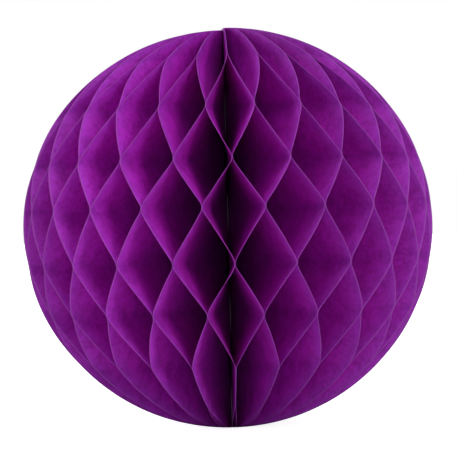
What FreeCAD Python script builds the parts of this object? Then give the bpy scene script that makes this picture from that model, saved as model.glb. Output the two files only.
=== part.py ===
import FreeCAD, Part
import os

import Sketcher

# A tissue-paper honeycomb ball, opened out and fastened.
#
# A stack of half-moon tissue leaves is bound along its straight edge by a
# thread, and glued leaf to leaf along level stripes.  The stripes alternate
# between two sets, so that the stack opens into cells.  Two half-moon cards
# cover the stack, and opening it all the way round brings them back to back,
# where two adhesive pads hold them.
#
# Frame: origin at the centre of the ball, +Z up along the bound edge.  The
# seam where the two cards meet is at the back (+Y), and leaves are numbered
# anticlockwise from it, seen from above.

doc = FreeCAD.newDocument("honeycomb_ball")

# ---------------------------------------------------------------------------
# Driving dimensions, in millimetres and degrees
# ---------------------------------------------------------------------------

DIMENSIONS = [
    ("ball_radius", "100", "half the width of the open ball"),
    ("ball_half_height", "97.7", "from the centre to either pole"),
    ("leaf_count", "46", "tissue leaves between the two cards"),
    ("leaf_thickness", "0.1", "tissue, drawn thicker than the real 0.04"),
    ("glue_gap", "0.03", "glue film between two glued stripes"),
    ("glue_pitch", "24.5", "from one glue stripe down to the next"),
    ("glue_width", "4.4", "height of a glue stripe"),
    ("top_stripe_height", "82.5", "the highest stripe, above the centre"),
    ("core_radius", "1.2", "from the axis to the leaves' bound edges"),
    ("card_thickness", "0.3", "cover card"),
    ("card_inset", "5.2", "from the axis to the cards' straight edges"),
    ("seam_gap", "0.1", "between the two cards, back to back"),
    ("pad_radius", "6", "round adhesive pad"),
    ("pad_thickness", "0.08", "adhesive pad"),
    ("pad_reach", "70", "from the axis to the pads' centres"),
    ("pad_height", "45", "the pads' centres, above and below the centre"),
    ("thread_radius", "0.4", "binding thread"),
    ("knot_radius", "1", "knot at each end of the thread"),
    ("knot_half_height", "1.3", "knot, along the thread"),
    ("seam_azimuth", "90", "direction of the seam about the Z axis"),
    # worked out from the above
    ("leaf_pitch", "=360 / leaf_count", "angle from one leaf to the next"),
    ("card_reach", "=seam_gap / 2 + card_thickness", "seam plane to leaves"),
    (
        "stripe_setback",
        "=(leaf_thickness + glue_gap) / 2 + card_reach / leaf_count",
        "from the plane between two leaves to a leaf's middle",
    ),
    ("blank_reach", "=ball_radius + 5", "an untrimmed leaf, from the axis"),
    ("blank_top", "=ball_half_height + 5", "an untrimmed leaf, up and down"),
    ("knot_height", "=ball_half_height - knot_half_height", "knot centres"),
]


def make_sheet():
    """The driving dimensions, one row each, with an alias to bind to."""
    made = doc.addObject("Spreadsheet::Sheet", "Sheet")
    for row, (alias, value, meaning) in enumerate(DIMENSIONS, start=1):
        made.set(f"A{row}", alias)
        made.set(f"B{row}", value)
        made.set(f"C{row}", meaning)
        made.setAlias(f"B{row}", alias)
    doc.recompute()
    return made


sheet = make_sheet()
leaf_count = int(sheet.leaf_count)

# glue stripes down a leaf, counted from the highest
STRIPES = 8


def bind(thing, **expressions):
    """Bind properties to the sheet.  A double underscore stands for a dot."""
    for name, expression in expressions.items():
        thing.setExpression(name.replace("__", "."), expression)
    return thing


# ---------------------------------------------------------------------------
# One pleated leaf
# ---------------------------------------------------------------------------


def stripe_corners():
    """(height, side) of each corner down the middle of a leaf's section.

    The side is +1 where the leaf leans to the next leaf, which is on the
    even stripes, and -1 where it leans to the one before.  Nothing pulls a
    leaf over past the last stripe at either end, so there it runs straight
    on to the rim.
    """
    corners = []
    for stripe in range(STRIPES):
        side = 1 if stripe % 2 == 0 else -1
        middle = f"Sheet.top_stripe_height - {stripe} * Sheet.glue_pitch"
        corners.append((f"{middle} + Sheet.glue_width / 2", side))
        corners.append((f"{middle} - Sheet.glue_width / 2", side))
    corners[0] = ("Sheet.blank_top", corners[0][1])
    corners[-1] = ("-Sheet.blank_top", corners[-1][1])
    return corners


def leaf_section(name, reach):
    """The leaf cut across at a distance from the axis, as a closed zigzag.

    Its sketch's X is the leaf's own Y, round the ball, and its sketch's Y
    is up.
    """
    swing = f"({reach} * tan(Sheet.leaf_pitch / 2) - Sheet.stripe_setback)"
    half = "Sheet.leaf_thickness / 2"
    down = [(f"{side} * {swing} - {half}", z) for z, side in stripe_corners()]
    up = [(f"{side} * {swing} + {half}", z) for z, side in stripe_corners()]
    outline = down + up[::-1]

    sketch = doc.addObject("Sketcher::SketchObject", name)
    turn = FreeCAD.Rotation(FreeCAD.Vector(1, 1, 1), 120)
    sketch.Placement = FreeCAD.Placement(FreeCAD.Vector(), turn)
    bind(sketch, Placement__Base__x=reach)

    points = []
    for across, height in outline:
        x = float(sketch.evalExpression(across))
        y = float(sketch.evalExpression(height))
        points.append(FreeCAD.Vector(x, y, 0))
    ends = points[1:] + points[:1]
    lines = [Part.LineSegment(p, q) for p, q in zip(points, ends)]
    sketch.addGeometry(lines)

    start, end = 1, 2
    rules = []
    for n in range(len(lines)):
        after = (n + 1) % len(lines)
        rules.append(Sketcher.Constraint("Coincident", n, end, after, start))
    for n, point in enumerate(points):
        rules.append(Sketcher.Constraint("DistanceX", n, start, point.x))
        rules.append(Sketcher.Constraint("DistanceY", n, start, point.y))
    sketch.addConstraint(rules)
    for n, (across, height) in enumerate(outline):
        rule = len(lines) + 2 * n
        sketch.setExpression(f"Constraints[{rule}]", across)
        sketch.setExpression(f"Constraints[{rule + 1}]", height)
    return sketch


def leaf_blank():
    """An untrimmed leaf that leans forward on the even stripes."""
    blank = doc.addObject("Part::Loft", "leaf_blank")
    blank.Sections = [
        leaf_section("bound_edge", "Sheet.core_radius"),
        leaf_section("outer_edge", "Sheet.blank_reach"),
    ]
    blank.Solid = True
    blank.Ruled = True
    return blank


def make_leaves(envelope):
    """Every leaf: a blank trimmed to the ball and turned to its place.

    Odd leaves are the mirror image of even ones, so that neighbours lean
    together at one set of stripes and apart at the other.
    """
    blank = leaf_blank()
    mirrored = doc.addObject("Part::Mirroring", "leaf_blank_mirrored")
    mirrored.Source = blank
    mirrored.Normal = FreeCAD.Vector(0, 1, 0)

    leaves = []
    for index in range(leaf_count):
        name = f"leaf_{index + 1:02d}"
        leaf = doc.addObject("Part::Common", name)
        leaf.Label = name
        leaf.Base = mirrored if index % 2 else blank
        leaf.Tool = envelope
        leaf.Placement.Rotation = FreeCAD.Rotation(FreeCAD.Vector(0, 0, 1), 1)
        azimuth = f"(Sheet.seam_azimuth + {index + 0.5} * Sheet.leaf_pitch)"
        # the cards take up room at the seam, so the leaves beside it stand
        # a little to one side of the axis, and those opposite it don't
        aside = f"Sheet.card_reach * (1 - {2 * index + 1} / Sheet.leaf_count)"
        bind(
            leaf,
            Placement__Rotation__Angle=azimuth,
            Placement__Base__x=f"-{aside} * sin({azimuth})",
            Placement__Base__y=f"{aside} * cos({azimuth})",
        )
        leaves.append(leaf)
    return leaves


# ---------------------------------------------------------------------------
# Cards and pads at the seam
# ---------------------------------------------------------------------------


def turn_to_seam(thing):
    """Turn a piece that is drawn along +X to lie at the seam."""
    thing.Placement.Rotation = FreeCAD.Rotation(FreeCAD.Vector(0, 0, 1), 1)
    return bind(thing, Placement__Rotation__Angle="Sheet.seam_azimuth")


def make_card(name, near_side, envelope):
    """A half-moon cover card.  near_side is its lower face's own Y."""
    board = doc.addObject("Part::Box", f"{name}_board")
    bind(
        board,
        Length="Sheet.ball_radius - Sheet.card_inset",
        Width="Sheet.card_thickness",
        Height="2 * Sheet.ball_half_height",
        Placement__Base__x="Sheet.card_inset",
        Placement__Base__y=near_side,
        Placement__Base__z="-Sheet.ball_half_height",
    )
    card = doc.addObject("Part::Common", name)
    card.Label = name
    card.Base = board
    card.Tool = envelope
    return turn_to_seam(card)


def make_pads():
    """Two adhesive pads, one high and one low, as one group."""
    pads = []
    for name, side in (("upper_pad", 1), ("lower_pad", -1)):
        pad = doc.addObject("Part::Cylinder", name)
        pad.Placement.Rotation = FreeCAD.Rotation(FreeCAD.Vector(1, 0, 0), 90)
        bind(
            pad,
            Radius="Sheet.pad_radius",
            Height="Sheet.pad_thickness",
            Placement__Base__x="Sheet.pad_reach",
            Placement__Base__y="Sheet.seam_gap / 2",
            Placement__Base__z=f"{side} * Sheet.pad_height",
        )
        pads.append(pad)
    group = doc.addObject("Part::Compound", "adhesive_pads")
    group.Label = "adhesive_pads"
    group.Links = pads
    return turn_to_seam(group)


# ---------------------------------------------------------------------------
# Binding thread and its knots
# ---------------------------------------------------------------------------


def make_thread():
    thread = doc.addObject("Part::Cylinder", "spine_thread")
    thread.Label = "spine_thread"
    return bind(
        thread,
        Radius="Sheet.thread_radius",
        Height="2 * (Sheet.knot_height - Sheet.knot_half_height)",
        Placement__Base__z="-(Sheet.knot_height - Sheet.knot_half_height)",
    )


def make_knot(name, side):
    knot = doc.addObject("Part::Ellipsoid", name)
    knot.Label = name
    return bind(
        knot,
        Radius1="Sheet.knot_half_height",
        Radius2="Sheet.knot_radius",
        Radius3="Sheet.knot_radius",
        Placement__Base__z=f"{side} * Sheet.knot_height",
    )


def make_envelope():
    """The open ball's outside, which the leaves and cards are trimmed to."""
    envelope = doc.addObject("Part::Ellipsoid", "ball_envelope")
    return bind(
        envelope,
        Radius1="Sheet.ball_half_height",
        Radius2="Sheet.ball_radius",
        Radius3="Sheet.ball_radius",
    )


def make_parts():
    envelope = make_envelope()
    card_behind_seam = "-Sheet.card_reach"
    card_before_seam = "Sheet.seam_gap / 2"
    return [
        make_card("cover_card_left", card_before_seam, envelope),
        make_card("cover_card_right", card_behind_seam, envelope),
        make_pads(),
        make_thread(),
        make_knot("top_knot", 1),
        make_knot("bottom_knot", -1),
    ] + make_leaves(envelope)


def check_and_write(parts):
    """Stop on any failed object or bad shape, then write every STEP file."""
    for thing in doc.Objects:
        if {"Invalid", "Error"} & set(thing.State):
            raise RuntimeError(f"{thing.Label} failed: {thing.State}")
    for piece in parts:
        shape = piece.Shape
        if shape.isNull() or not shape.isValid() or not shape.Solids:
            raise RuntimeError(f"{piece.Label} has no valid solid")
    os.makedirs("parts", exist_ok=True)
    for piece in parts:
        piece.Shape.exportStep(f"parts/{piece.Label}.step")
        print(f"{piece.Label}: {piece.Shape.Volume:.1f} mm3")


parts = make_parts()
doc.recompute()
check_and_write(parts)
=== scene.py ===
import math

import bpy
import numpy as np
from mathutils import Euler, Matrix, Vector, noise


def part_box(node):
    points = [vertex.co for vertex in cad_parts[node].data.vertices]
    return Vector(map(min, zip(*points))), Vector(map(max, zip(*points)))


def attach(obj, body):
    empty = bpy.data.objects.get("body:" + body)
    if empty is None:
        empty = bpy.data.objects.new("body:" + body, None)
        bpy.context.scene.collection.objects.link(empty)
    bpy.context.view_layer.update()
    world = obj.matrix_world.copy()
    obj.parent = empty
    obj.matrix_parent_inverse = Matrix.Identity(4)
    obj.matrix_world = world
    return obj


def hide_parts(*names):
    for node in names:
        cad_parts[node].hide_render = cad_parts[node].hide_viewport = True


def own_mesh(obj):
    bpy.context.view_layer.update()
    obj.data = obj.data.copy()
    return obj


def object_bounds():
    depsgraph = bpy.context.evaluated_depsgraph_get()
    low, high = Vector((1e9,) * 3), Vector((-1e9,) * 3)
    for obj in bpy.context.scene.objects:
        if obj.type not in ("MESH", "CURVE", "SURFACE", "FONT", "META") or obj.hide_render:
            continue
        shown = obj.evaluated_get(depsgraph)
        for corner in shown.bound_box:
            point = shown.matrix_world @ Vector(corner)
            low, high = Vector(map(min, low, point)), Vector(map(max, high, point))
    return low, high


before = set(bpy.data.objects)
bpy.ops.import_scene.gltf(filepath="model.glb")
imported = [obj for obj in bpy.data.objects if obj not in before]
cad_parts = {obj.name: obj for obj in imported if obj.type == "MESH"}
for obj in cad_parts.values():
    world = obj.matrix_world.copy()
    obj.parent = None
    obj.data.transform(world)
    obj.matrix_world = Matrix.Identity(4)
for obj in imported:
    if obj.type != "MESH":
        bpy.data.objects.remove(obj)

# A purple tissue honeycomb ball.  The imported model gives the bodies, the sizes
# and the two cover cards, which get a finish of their own.  Every leaf becomes
# a thin sheet of tissue that swings softly from one glue stripe to the next,
# and the pads, the thread and its knots are made anew.
#
# Everything is in metres.  The front of the ball is at -Y, the seam where the
# two cards meet is at +Y, and +Z is up along the bound edge.

MM = 0.001

cad_low, cad_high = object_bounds()

# ---------------------------------------------------------------------------
# Sizes, from the frame where it has them
# ---------------------------------------------------------------------------

LEAF_NODES = sorted(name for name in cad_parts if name.startswith("leaf_"))
LEAF_COUNT = len(LEAF_NODES)
LEAF_PITCH = 2 * math.pi / LEAF_COUNT
BALL_RADIUS = (cad_high.x - cad_low.x) / 2
BALL_HALF_HEIGHT = (cad_high.z - cad_low.z) / 2
BALL_CENTRE_HEIGHT = (cad_high.z + cad_low.z) / 2
CORE_RADIUS = 1.2 * MM
SEAM_ANGLE = math.pi / 2
FRONT_ANGLE = SEAM_ANGLE + math.pi
CARD_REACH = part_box("cover_card_right")[1].x

# tissue: its thickness, and the gap that the glue fills between two leaves
TISSUE = 0.14 * MM
GLUE_GAP = 0.02 * MM
STRIPE_HEIGHTS = [83 * MM, 57 * MM, 32 * MM, 9.5 * MM, -16.5 * MM, -40 * MM, -65.5 * MM]
STRIPE_WIDTH = 2.6 * MM
CREASE_SHARPNESS = 20

# where the leaves have come apart by the lower pole, and by how much of a stripe spacing
SPLIT_TOP = -83 * MM
SPLIT_BOTTOM = -100 * MM
SPLIT_SHARE = 0.5

# how the real ball differs from an even one
FRONT_FULLNESS = 0.036
FULLNESS_LEVEL = 64 * MM
LEAST_FULLNESS = -0.7
LEFT_TOP_DROP = 1.2 * MM
RIPPLE = 0.45 * MM
RIPPLE_SCALE = 22 * MM
RIPPLE_SEED_STEP = 7.3
CURL = 0.5 * MM
CURL_REACH = 7 * MM
CURL_SCALE = 30 * MM
CURL_SEED_STEP = 5.1
CURL_FIRST_SEED = 400

# mesh of a leaf: columns stand closer together towards the rim
ROWS = 160
COLUMNS = 24
COLUMN_CROWDING = 1.5
POLE_WIDTH = 0.4 * MM
LEVEL_RIM_WEIGHT = 0.6
FINE_STEPS = 2001

# how far in from the rim the painted highlight on the cut edge and the painted sheen on the rim reach
EDGE_HIGHLIGHT_WIDTH = 0.5 * MM
RIM_SHEEN_WIDTH = 16 * MM


# ---------------------------------------------------------------------------
# Materials
# ---------------------------------------------------------------------------


def new_material(name):
    material = bpy.data.materials.new(name)
    material.use_nodes = True
    material.node_tree.nodes.clear()
    return material


class Nodes:
    """Short ways to add nodes to a material or to the world."""

    def __init__(self, owner):
        self.tree = owner.node_tree

    def add(self, kind, **settings):
        node = self.tree.nodes.new(kind)
        for name, value in settings.items():
            setattr(node, name, value)
        return node

    def link(self, output, socket):
        self.tree.links.new(output, socket)

    def noise(self, place, scale, detail=3.0, roughness=0.5):
        node = self.add("ShaderNodeTexNoise")
        self.link(place, node.inputs["Vector"])
        node.inputs["Scale"].default_value = scale
        node.inputs["Detail"].default_value = detail
        node.inputs["Roughness"].default_value = roughness
        return node.outputs["Fac"]

    def stretched(self, place, scale):
        node = self.add("ShaderNodeMapping")
        self.link(place, node.inputs["Vector"])
        node.inputs["Scale"].default_value = scale
        return node.outputs["Vector"]

    def ramp(self, factor, stops):
        node = self.add("ShaderNodeValToRGB")
        self.link(factor, node.inputs["Fac"])
        elements = node.color_ramp.elements
        while len(elements) < len(stops):
            elements.new(0.5)
        for element, (position, colour) in zip(elements, stops):
            element.position = position
            element.color = (*colour, 1)
        return node.outputs["Color"]

    def between(self, factor, low, high):
        """A number from low to high as factor goes from 0 to 1."""
        node = self.add("ShaderNodeMapRange")
        self.link(factor, node.inputs["Value"])
        node.inputs["To Min"].default_value = low
        node.inputs["To Max"].default_value = high
        return node.outputs["Result"]

    def mix(self, factor, first, second):
        """A blend of two colours, each a socket or a plain colour."""
        node = self.add("ShaderNodeMix", data_type="RGBA")
        if isinstance(factor, (int, float)):
            node.inputs[0].default_value = factor
        else:
            self.link(factor, node.inputs[0])
        for socket, value in ((node.inputs[6], first), (node.inputs[7], second)):
            if isinstance(value, tuple):
                socket.default_value = (*value, 1)
            else:
                self.link(value, socket)
        return node.outputs[2]

    def bump(self, height, distance, strength):
        node = self.add("ShaderNodeBump")
        self.link(height, node.inputs["Height"])
        node.inputs["Distance"].default_value = distance
        node.inputs["Strength"].default_value = strength
        return node.outputs["Normal"]


# Colours of the paper where its fibres lie thin and where they lie full: by the light
# it throws back over the leaf, with a painted sheen that turns it paler and bluer near
# the rim and a painted highlight along the cut edge, and by the light that comes through it.
TISSUE_DEEP = (0.46, 0.006, 0.50)
TISSUE_MAIN = (0.80, 0.020, 0.86)
TISSUE_RIM_SHEEN_DEEP = (0.48, 0.040, 0.70)
TISSUE_RIM_SHEEN = (0.70, 0.075, 0.97)
TISSUE_EDGE_HIGHLIGHT = (0.50, 0.10, 0.66)
TISSUE_THIN = (0.86, 0.004, 0.64)
TISSUE_THICK = (0.64, 0.002, 0.47)

# the noise values at which it counts as thin and as full, and how much light it lets by
LEAST_BODY = 0.41
MOST_BODY = 0.57
SEE_THROUGH = 0.3


def tissue_material():
    """Dyed tissue: cloudy where the fibres lie thick or thin, with a painted sheen near the rim and a
    painted highlight along the cut edge, and it lets light through.
    """
    material = new_material("purple_tissue")
    nodes = Nodes(material)
    place = nodes.add("ShaderNodeTexCoord").outputs["Object"]

    blotches = nodes.noise(place, 170, detail=2, roughness=0.5)
    clouds = nodes.noise(place, 560, detail=3, roughness=0.6)
    fibres = nodes.noise(nodes.stretched(place, (1, 1, 0.45)), 2600, detail=2, roughness=0.6)
    body = nodes.mix(0.15, nodes.mix(0.6, blotches, clouds), fibres)
    colour = nodes.ramp(body, [(LEAST_BODY, TISSUE_DEEP), (MOST_BODY, TISSUE_MAIN)])
    # painted sheen: paler, bluer colour over the outer part of each leaf, strongest at the rim
    rim = nodes.add("ShaderNodeAttribute", attribute_name="rim").outputs["Fac"]
    rim_sheen_colour = nodes.ramp(body, [(LEAST_BODY, TISSUE_RIM_SHEEN_DEEP), (MOST_BODY, TISSUE_RIM_SHEEN)])
    colour = nodes.mix(rim, colour, rim_sheen_colour)
    # painted highlight: a line of whiter colour along the cut edge of each leaf
    edge_highlight = nodes.add("ShaderNodeAttribute", attribute_name="edge_highlight").outputs["Fac"]
    colour = nodes.mix(edge_highlight, colour, TISSUE_EDGE_HIGHLIGHT)

    paper = nodes.add("ShaderNodeBsdfPrincipled")
    nodes.link(colour, paper.inputs["Base Color"])
    nodes.link(nodes.between(clouds, 0.55, 0.8), paper.inputs["Roughness"])
    paper.inputs["Specular IOR Level"].default_value = 0.45
    nodes.link(nodes.bump(body, 0.5 * MM, 0.6), paper.inputs["Normal"])

    through = nodes.add("ShaderNodeBsdfTranslucent")
    glow = nodes.ramp(body, [(LEAST_BODY, TISSUE_THIN), (MOST_BODY, TISSUE_THICK)])
    nodes.link(glow, through.inputs["Color"])

    sheet = nodes.add("ShaderNodeMixShader")
    sheet.inputs["Fac"].default_value = SEE_THROUGH
    nodes.link(paper.outputs["BSDF"], sheet.inputs[1])
    nodes.link(through.outputs["BSDF"], sheet.inputs[2])
    output = nodes.add("ShaderNodeOutputMaterial")
    nodes.link(sheet.outputs["Shader"], output.inputs["Surface"])
    return material


def card_material():
    """Purple board with a fine, uneven surface."""
    material = new_material("cover_card")
    nodes = Nodes(material)
    place = nodes.add("ShaderNodeTexCoord").outputs["Object"]
    flecks = nodes.noise(place, 700, detail=5, roughness=0.7)
    felt = nodes.noise(nodes.stretched(place, (1, 1, 3)), 120, detail=3)
    colour = nodes.ramp(
        nodes.mix(0.4, flecks, felt),
        [(0.32, (0.17, 0.012, 0.20)), (0.66, (0.30, 0.030, 0.35))],
    )
    board = nodes.add("ShaderNodeBsdfPrincipled")
    nodes.link(colour, board.inputs["Base Color"])
    nodes.link(nodes.between(flecks, 0.55, 0.8), board.inputs["Roughness"])
    nodes.link(nodes.bump(flecks, 0.05 * MM, 0.6), board.inputs["Normal"])
    output = nodes.add("ShaderNodeOutputMaterial")
    nodes.link(board.outputs["BSDF"], output.inputs["Surface"])
    return material


def adhesive_material():
    """Yellowed adhesive, a little glossy."""
    material = new_material("pad_adhesive")
    nodes = Nodes(material)
    place = nodes.add("ShaderNodeTexCoord").outputs["Object"]
    patches = nodes.noise(place, 350, detail=3)
    colour = nodes.ramp(patches, [(0.3, (0.62, 0.58, 0.46)), (0.7, (0.78, 0.75, 0.66))])
    pad = nodes.add("ShaderNodeBsdfPrincipled")
    nodes.link(colour, pad.inputs["Base Color"])
    nodes.link(nodes.between(patches, 0.25, 0.45), pad.inputs["Roughness"])
    nodes.link(nodes.bump(patches, 0.04 * MM, 0.5), pad.inputs["Normal"])
    output = nodes.add("ShaderNodeOutputMaterial")
    nodes.link(pad.outputs["BSDF"], output.inputs["Surface"])
    return material


def thread_material():
    """Undyed cotton thread with fine fibres."""
    material = new_material("cotton_thread")
    nodes = Nodes(material)
    place = nodes.add("ShaderNodeTexCoord").outputs["Object"]
    fibres = nodes.noise(nodes.stretched(place, (1, 1, 0.35)), 5200, detail=3, roughness=0.7)
    colour = nodes.ramp(fibres, [(0.3, (0.72, 0.67, 0.70)), (0.7, (0.92, 0.89, 0.90))])
    cotton = nodes.add("ShaderNodeBsdfPrincipled")
    nodes.link(colour, cotton.inputs["Base Color"])
    nodes.link(nodes.between(fibres, 0.75, 0.95), cotton.inputs["Roughness"])
    cotton.inputs["Sheen Weight"].default_value = 0.3
    nodes.link(nodes.bump(fibres, 0.03 * MM, 0.7), cotton.inputs["Normal"])
    output = nodes.add("ShaderNodeOutputMaterial")
    nodes.link(cotton.outputs["BSDF"], output.inputs["Surface"])
    return material


# ---------------------------------------------------------------------------
# Tissue leaves
# ---------------------------------------------------------------------------


def rim_radius(height):
    """How far the ball's outside is from the axis at a height."""
    return BALL_RADIUS * np.sqrt(np.clip(1 - (height / BALL_HALF_HEIGHT) ** 2, 0, 1))


def row_heights():
    """Heights of a leaf's rows, close together where the rim runs level, near the poles."""
    last = math.acos((CORE_RADIUS + POLE_WIDTH) / BALL_RADIUS)
    fine = BALL_HALF_HEIGHT * np.sin(np.linspace(-last, last, FINE_STEPS))
    step = np.hypot(np.diff(fine), LEVEL_RIM_WEIGHT * np.diff(rim_radius(fine)))
    along = np.concatenate([[0], np.cumsum(step)])
    return np.interp(np.linspace(0, along[-1], ROWS), along, fine)


def soft_clip(value):
    """The value kept between -1 and 1, with rounded corners."""
    return value / (1 + np.abs(value) ** CREASE_SHARPNESS) ** (1 / CREASE_SHARPNESS)


def lean(height):
    """+1 where an even leaf meets the leaf after it, -1 where it meets the one before.

    It swings over between one glue stripe and the next.  Above the highest stripe
    the leaf runs straight on, and below the lowest it comes loose at the pole.
    """
    stripes = np.interp(-height, [-h for h in STRIPE_HEIGHTS], range(len(STRIPE_HEIGHTS)))
    split = np.clip((SPLIT_TOP - height) / (SPLIT_TOP - SPLIT_BOTTOM), 0, 1)
    stripes = stripes + SPLIT_SHARE * split
    triangle = 2 * np.abs(stripes % 2 - 1) - 1
    pitch = abs(STRIPE_HEIGHTS[0] - STRIPE_HEIGHTS[-1]) / (len(STRIPE_HEIGHTS) - 1)
    steepness = 1 / (1 - STRIPE_WIDTH / pitch)
    return soft_clip(steepness * triangle) / soft_clip(steepness)


def noise_over(radius, height, scale, seed):
    """Smooth noise over a leaf, from about -1 to 1."""
    places = zip(radius.ravel() / scale, height.ravel() / scale)
    values = [noise.noise(Vector((out, up, seed))) for out, up in places]
    return np.array(values).reshape(radius.shape)


def ripple(radius, height, from_edge, index):
    """Slight waves in a leaf and a curl at its rim, but none where it is glued."""
    loose = 1 - lean(height) ** 4
    seed = RIPPLE_SEED_STEP * index
    waves = RIPPLE * noise_over(radius, height, RIPPLE_SCALE, seed) * radius / BALL_RADIUS
    near_rim = np.clip(1 - from_edge / CURL_REACH, 0, 1) ** 2
    seed = CURL_SEED_STEP * index + CURL_FIRST_SEED
    curl = CURL * noise_over(radius, height, CURL_SCALE, seed) * near_rim
    return loose * (waves + curl)


def fuller_front(angle, height):
    """The cells at the front stand a little wider than even ones, most of all half way up."""
    from_front = (angle - FRONT_ANGLE + math.pi) % (2 * math.pi) - math.pi
    amount = FRONT_FULLNESS * np.clip(1 - (height / FULLNESS_LEVEL) ** 2, LEAST_FULLNESS, 1)
    return np.where(np.abs(from_front) < math.pi / 2, amount * np.sin(2 * from_front), 0)


def middle_angle(index):
    """Where a leaf stands round the axis."""
    return SEAM_ANGLE + (index + 0.5) * LEAF_PITCH


def leaf_points(index, heights):
    """Middle surface of one leaf, rows from the bottom up, columns from the axis out."""
    side = 1 if index % 2 == 0 else -1
    middle = middle_angle(index)
    share = 1 - (1 - np.linspace(0, 1, COLUMNS)) ** COLUMN_CROWDING
    height = np.repeat(heights[:, None], COLUMNS, axis=1)
    rim = rim_radius(height)
    radius = CORE_RADIUS + (rim - CORE_RADIUS) * share[None, :]

    setback = (TISSUE + GLUE_GAP) / 2 + CARD_REACH / LEAF_COUNT
    swing = np.clip(radius * math.tan(LEAF_PITCH / 2) - setback, 0, None)
    from_edge = rim - radius
    across = side * lean(height) * swing + ripple(radius, height, from_edge, index)
    angle = middle + across / radius
    angle = angle + fuller_front(angle, height)

    x = radius * np.cos(angle)
    y = radius * np.sin(angle)
    drop = LEFT_TOP_DROP if index < LEAF_COUNT / 2 else 0
    z = height - drop * np.clip(height / BALL_HALF_HEIGHT, 0, 1) ** 2 + BALL_CENTRE_HEIGHT
    return x, y, z, from_edge


def sheet_mesh(name, x, y, z, across, thickness):
    """A closed thin sheet about a grid of points, half its thickness to each side."""
    rows, columns = x.shape
    middle = np.stack([x, y, z], axis=-1).reshape(-1, 3)
    offset = np.array(across) * thickness / 2
    count = rows * columns
    points = np.concatenate([middle + offset, middle - offset])
    at = np.arange(count).reshape(rows, columns)
    quads = np.stack([at[:-1, :-1], at[:-1, 1:], at[1:, 1:], at[1:, :-1]], axis=-1).reshape(-1, 4)
    border = np.concatenate([at[0, :], at[1:, -1], at[-1, -2::-1], at[-2:0:-1, 0]])
    after = np.roll(border, -1)
    walls = np.stack([after, border, border + count, after + count], axis=-1)
    faces = np.concatenate([quads, quads[:, ::-1] + count, walls])
    mesh = bpy.data.meshes.new(name)
    mesh.from_pydata(points.tolist(), [], faces.tolist())
    smooth = [True] * (2 * len(quads)) + [False] * len(walls)
    mesh.polygons.foreach_set("use_smooth", smooth)
    return mesh


def add_piece(name, mesh, material):
    piece = bpy.data.objects.new(name, mesh)
    bpy.context.scene.collection.objects.link(piece)
    mesh.materials.append(material)
    return piece


def add_share(mesh, name, values):
    """A number for each point of a sheet's grid, the same on both of its faces."""
    attribute = mesh.attributes.new(name, "FLOAT", "POINT")
    attribute.data.foreach_set("value", np.tile(values.ravel(), 2).astype(np.float32))


def make_leaf(index, heights, material):
    """One leaf, set aside by its place between the two cards, which stand off the axis."""
    node = LEAF_NODES[index]
    x, y, z, from_edge = leaf_points(index, heights)
    tangent = Vector((-math.sin(middle_angle(index)), math.cos(middle_angle(index)), 0))
    aside = CARD_REACH * (1 - (2 * index + 1) / LEAF_COUNT) * tangent
    mesh = sheet_mesh(f"{node}_tissue", x + aside.x, y + aside.y, z, tangent, TISSUE)
    # masks for the painted highlight along the cut edge and the painted sheen near the rim
    add_share(mesh, "edge_highlight", np.clip(1 - from_edge / EDGE_HIGHLIGHT_WIDTH, 0, 1))
    add_share(mesh, "rim", np.clip(1 - from_edge / RIM_SHEEN_WIDTH, 0, 1) ** 2)
    leaf = add_piece(f"{node}_tissue", mesh, material)
    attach(leaf, node)
    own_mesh(leaf)
    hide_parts(node)


def make_leaves(material):
    heights = row_heights()
    for index in range(LEAF_COUNT):
        make_leaf(index, heights, material)


# ---------------------------------------------------------------------------
# Thread, knots, pads and cards
# ---------------------------------------------------------------------------

# a direction that no path of the thread or a knot runs along
CROSSWISE = (0.31, 0.94, 0.17)

# thread: a ply's thickness is a share of the thread's, as the plies press together
PLIES = 2
PLY_SHARE = 0.55
TWIST_PITCH = 1.7 * MM
RINGS_PER_TURN = 9
YARN_SIDES = 8
THREAD_SWAY = 0.3 * MM
SWAY_SCALE = 11 * MM
THREAD_SLACK = 2.4 * MM
STITCH_LENGTH = 49 * MM
STITCH_LEVEL = 7 * MM

# knots
KNOT_STRAND = 0.27 * MM
KNOT_STEPS = 60
END_START = 0.6
END_LENGTH = 3.2 * MM
END_RISE = 0.7
END_WAVE = 0.5 * MM
END_STEPS = 14

# pads
PAD_RINGS = 7
PAD_SIDES = 72
PAD_ROUNDING = 0.06
PAD_UNEVENNESS = 0.02
PAD_WAVES = 2.5
PAD_SEED_STEP = 3.7


def tube(path, radius, sides, closed=False):
    """Points and faces of a tube along a path, in metres."""
    path = np.array(path)
    ahead, behind = np.roll(path, -1, axis=0), np.roll(path, 1, axis=0)
    if not closed:
        ahead[-1], behind[0] = path[-1], path[0]
    along = ahead - behind
    along /= np.linalg.norm(along, axis=1)[:, None]
    side = np.cross(along, CROSSWISE)
    side /= np.linalg.norm(side, axis=1)[:, None]
    other = np.cross(along, side)
    turns = np.linspace(0, 2 * math.pi, sides, endpoint=False)
    ring = side[:, None] * np.cos(turns)[None, :, None] + other[:, None] * np.sin(turns)[None, :, None]
    points = (path[:, None] + radius * ring).reshape(-1, 3)
    count = len(path)
    faces = []
    for n in range(count if closed else count - 1):
        here, there = n * sides, (n + 1) % count * sides
        for k in range(sides):
            after = (k + 1) % sides
            faces.append((here + k, here + after, there + after, there + k))
    if not closed:
        faces.append(tuple(range(sides))[::-1])
        faces.append(tuple(range((count - 1) * sides, count * sides)))
    return points, faces


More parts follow.
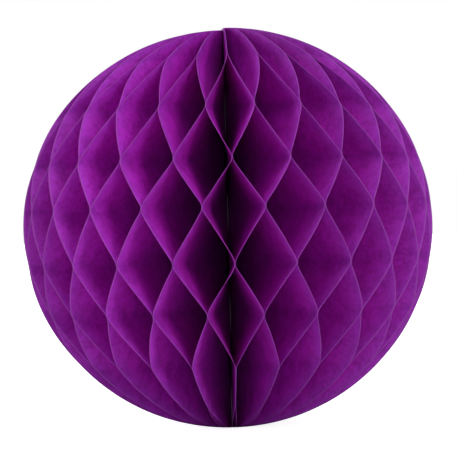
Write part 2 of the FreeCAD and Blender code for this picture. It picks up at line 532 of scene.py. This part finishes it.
def joined_mesh(name, shapes):
    """One mesh from several (points, faces)."""
    points, faces = [], []
    for own_points, own_faces in shapes:
        first = len(points)
        points.extend(tuple(point) for point in own_points)
        faces.extend(tuple(first + n for n in face) for face in own_faces)
    mesh = bpy.data.meshes.new(name)
    mesh.from_pydata(points, [], faces)
    mesh.polygons.foreach_set("use_smooth", [True] * len(mesh.polygons))
    return mesh


def thread_line(height):
    """The middle of the thread, which comes forward between the bound edges in places."""
    sway = THREAD_SWAY * math.sin(height / SWAY_SCALE)
    stitch = 2 * math.pi * (height - STITCH_LEVEL) / STITCH_LENGTH
    forward = THREAD_SLACK * (0.5 + 0.5 * math.cos(stitch))
    return np.array([sway, -forward, height])


def make_thread(material):
    """Two plies twisted round each other."""
    low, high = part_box("spine_thread")
    radius = (high.x - low.x) / 2
    rings = int((high.z - low.z) / TWIST_PITCH * RINGS_PER_TURN)
    shapes = []
    for ply in range(PLIES):
        path = []
        for height in np.linspace(low.z, high.z, rings):
            turn = 2 * math.pi * ((height - low.z) / TWIST_PITCH + ply / PLIES)
            out = radius / 2 * np.array([math.cos(turn), math.sin(turn), 0])
            path.append(thread_line(height) + out)
        shapes.append(tube(path, radius * PLY_SHARE, YARN_SIDES))
    yarn = add_piece("spine_yarn", joined_mesh("spine_yarn", shapes), material)
    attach(yarn, "left_card")
    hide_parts("spine_thread")


def make_knot(node, up, material):
    """An overhand knot with one short end, tied in a single strand."""
    low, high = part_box(node)
    centre = (low + high) / 2
    wide = (high.x - low.x) / 2 - KNOT_STRAND
    tall = (high.z - low.z) / 2 - KNOT_STRAND
    loop = []
    for turn in np.linspace(0, 2 * math.pi, KNOT_STEPS, endpoint=False):
        x = (math.sin(turn) + 2 * math.sin(2 * turn)) / 3
        y = (math.cos(turn) - 2 * math.cos(2 * turn)) / 3
        z = -math.sin(3 * turn)
        loop.append((centre.x + wide * x, centre.y + wide * y, centre.z + tall * z))
    end = []
    for share in np.linspace(0, 1, END_STEPS):
        x = END_START * wide + END_LENGTH * share
        y = END_WAVE * math.sin(3 * share)
        z = up * END_RISE * tall * (1 - share * share)
        end.append((centre.x + x, centre.y + y, centre.z + z))
    shapes = [
        tube(loop, KNOT_STRAND, YARN_SIDES, closed=True),
        tube(end, KNOT_STRAND, YARN_SIDES),
    ]
    knot = add_piece(f"{node}_tied", joined_mesh(f"{node}_tied", shapes), material)
    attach(knot, "left_card")
    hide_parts(node)


def pad_shape(centre, radius, thickness, seed):
    """A pressed dot of adhesive: an uneven outline and a rounded rim."""
    points, faces = [], []
    for ring in range(PAD_RINGS):
        turn = math.pi * ring / (PAD_RINGS - 1)
        inset = PAD_ROUNDING * radius * (1 - math.sin(turn))
        across = -thickness / 2 * math.cos(turn)
        for side in range(PAD_SIDES):
            angle = 2 * math.pi * side / PAD_SIDES
            way = Vector((math.cos(angle), math.sin(angle), seed))
            reach = radius * (1 + PAD_UNEVENNESS * noise.noise(PAD_WAVES * way)) - inset
            points.append((centre.x + across, centre.y + reach * way.x, centre.z + reach * way.y))
    for ring in range(PAD_RINGS - 1):
        for side in range(PAD_SIDES):
            after = (side + 1) % PAD_SIDES
            here, there = ring * PAD_SIDES, (ring + 1) * PAD_SIDES
            faces.append((here + side, here + after, there + after, there + side))
    faces.append(tuple(range(PAD_SIDES))[::-1])
    faces.append(tuple(range((PAD_RINGS - 1) * PAD_SIDES, PAD_RINGS * PAD_SIDES)))
    return points, faces


def make_pads(material):
    """The two dots of adhesive that hold the cards back to back."""
    low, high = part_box("adhesive_pads")
    radius = (high.y - low.y) / 2
    thickness = high.x - low.x
    middle = (low + high) / 2
    heights = (high.z - radius, low.z + radius)
    shapes = [
        pad_shape(Vector((middle.x, middle.y, height)), radius, thickness, PAD_SEED_STEP * n)
        for n, height in enumerate(heights)
    ]
    pads = add_piece("adhesive_dots", joined_mesh("adhesive_dots", shapes), material)
    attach(pads, "left_card")
    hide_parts("adhesive_pads")


def finish_cards(material):
    """The cards keep their CAD shape and get their own board."""
    for name in ("cover_card_left", "cover_card_right"):
        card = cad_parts[name]
        card.data.materials.clear()
        card.data.materials.append(material)


# ---------------------------------------------------------------------------
# Studio
# ---------------------------------------------------------------------------

CAMERA_DISTANCE = 12 * BALL_RADIUS
CAMERA_TURN = math.radians(-1.7)
CAMERA_ROLL = math.radians(1.4)
CAMERA_SHIFT_X = 0.0024
CAMERA_SHIFT_Y = -0.0031
SENSOR_WIDTH = 36
BALL_SHARE_OF_FRAME = 0.8937
FLOOR_SIZE = 40.0
FLOOR_COLOUR = (0.93, 0.93, 0.94, 1)
FLOOR_GLOW = 0.9
BACKGROUND_COLOUR = (1, 1, 1, 1)
BACKGROUND_STRENGTH = 1.0
SURROUND_COLOUR = (0.94, 0.95, 1, 1)
SURROUND_STRENGTH = 0.03


def make_floor():
    """A wide white sheet, which the camera sees a little brighter than it is lit."""
    mesh = bpy.data.meshes.new("floor")
    half = FLOOR_SIZE / 2
    corners = [(-half, -half), (half, -half), (half, half), (-half, half)]
    mesh.from_pydata([(x, y, cad_low.z) for x, y in corners], [], [(0, 1, 2, 3)])
    material = new_material("floor_paper")
    nodes = Nodes(material)
    paper = nodes.add("ShaderNodeBsdfDiffuse")
    paper.inputs["Color"].default_value = FLOOR_COLOUR
    glow = nodes.add("ShaderNodeEmission")
    glow.inputs["Strength"].default_value = FLOOR_GLOW
    bright = nodes.add("ShaderNodeAddShader")
    nodes.link(paper.outputs["BSDF"], bright.inputs[0])
    nodes.link(glow.outputs["Emission"], bright.inputs[1])
    seen = nodes.add("ShaderNodeMixShader")
    nodes.link(nodes.add("ShaderNodeLightPath").outputs["Is Camera Ray"], seen.inputs["Fac"])
    nodes.link(paper.outputs["BSDF"], seen.inputs[1])
    nodes.link(bright.outputs["Shader"], seen.inputs[2])
    output = nodes.add("ShaderNodeOutputMaterial")
    nodes.link(seen.outputs["Shader"], output.inputs["Surface"])
    floor = add_piece("studio_floor", mesh, material)


def make_camera():
    """Level with the ball's middle and in front, so far off that it shows nearly its full width."""
    centre = (cad_low + cad_high) / 2
    data = bpy.data.cameras.new("camera")
    tangent_cone = BALL_RADIUS / math.sqrt(CAMERA_DISTANCE**2 - BALL_RADIUS**2)
    data.sensor_width = SENSOR_WIDTH
    data.lens = SENSOR_WIDTH / 2 * BALL_SHARE_OF_FRAME / tangent_cone
    data.shift_x = CAMERA_SHIFT_X
    data.shift_y = CAMERA_SHIFT_Y
    data.clip_end = 100
    camera = bpy.data.objects.new("camera", data)
    bpy.context.scene.collection.objects.link(camera)
    back = Vector((math.sin(CAMERA_TURN), -math.cos(CAMERA_TURN), 0))
    camera.location = Vector((0, 0, centre.z)) + back * CAMERA_DISTANCE
    camera.rotation_euler = Euler((math.pi / 2, CAMERA_ROLL, CAMERA_TURN), "YXZ")
    bpy.context.scene.camera = camera


def soft_light(name, azimuth, elevation, width, strength):
    """A far, soft light.  Azimuth 0 is the front, and it grows to the right."""
    turn, rise = math.radians(azimuth), math.radians(elevation)
    out = Vector((math.sin(turn) * math.cos(rise), -math.cos(turn) * math.cos(rise), math.sin(rise)))
    data = bpy.data.lights.new(name, "SUN")
    data.angle = math.radians(width)
    data.energy = strength
    light = bpy.data.objects.new(name, data)
    bpy.context.scene.collection.objects.link(light)
    light.rotation_euler = out.to_track_quat("Z", "Y").to_euler()


def make_lights():
    soft_light("key_light", 35, 20, 24, 0.95)
    soft_light("side_light", -90, 20, 50, 1.4)
    soft_light("top_light", 0, 80, 50, 1.2)
    soft_light("front_light", 0, 4, 20, 0.2)


def make_world():
    """White where the camera looks past the ball, and only a faint glow on the ball itself."""
    world = bpy.data.worlds.new("studio_white")
    world.use_nodes = True
    world.node_tree.nodes.clear()
    nodes = Nodes(world)
    background = nodes.add("ShaderNodeBackground")
    background.inputs["Color"].default_value = BACKGROUND_COLOUR
    background.inputs["Strength"].default_value = BACKGROUND_STRENGTH
    surround = nodes.add("ShaderNodeBackground")
    surround.inputs["Color"].default_value = SURROUND_COLOUR
    surround.inputs["Strength"].default_value = SURROUND_STRENGTH
    seen = nodes.add("ShaderNodeMixShader")
    nodes.link(nodes.add("ShaderNodeLightPath").outputs["Is Camera Ray"], seen.inputs["Fac"])
    nodes.link(surround.outputs["Background"], seen.inputs[1])
    nodes.link(background.outputs["Background"], seen.inputs[2])
    output = nodes.add("ShaderNodeOutputWorld")
    nodes.link(seen.outputs["Shader"], output.inputs["Surface"])
    bpy.context.scene.world = world


make_camera()
make_floor()
make_lights()
make_world()
bpy.context.scene.view_settings.view_transform = "Standard"

cotton = thread_material()
make_leaves(tissue_material())
make_thread(cotton)
make_knot("top_knot", 1, cotton)
make_knot("bottom_knot", -1, cotton)
make_pads(adhesive_material())
finish_cards(card_material())
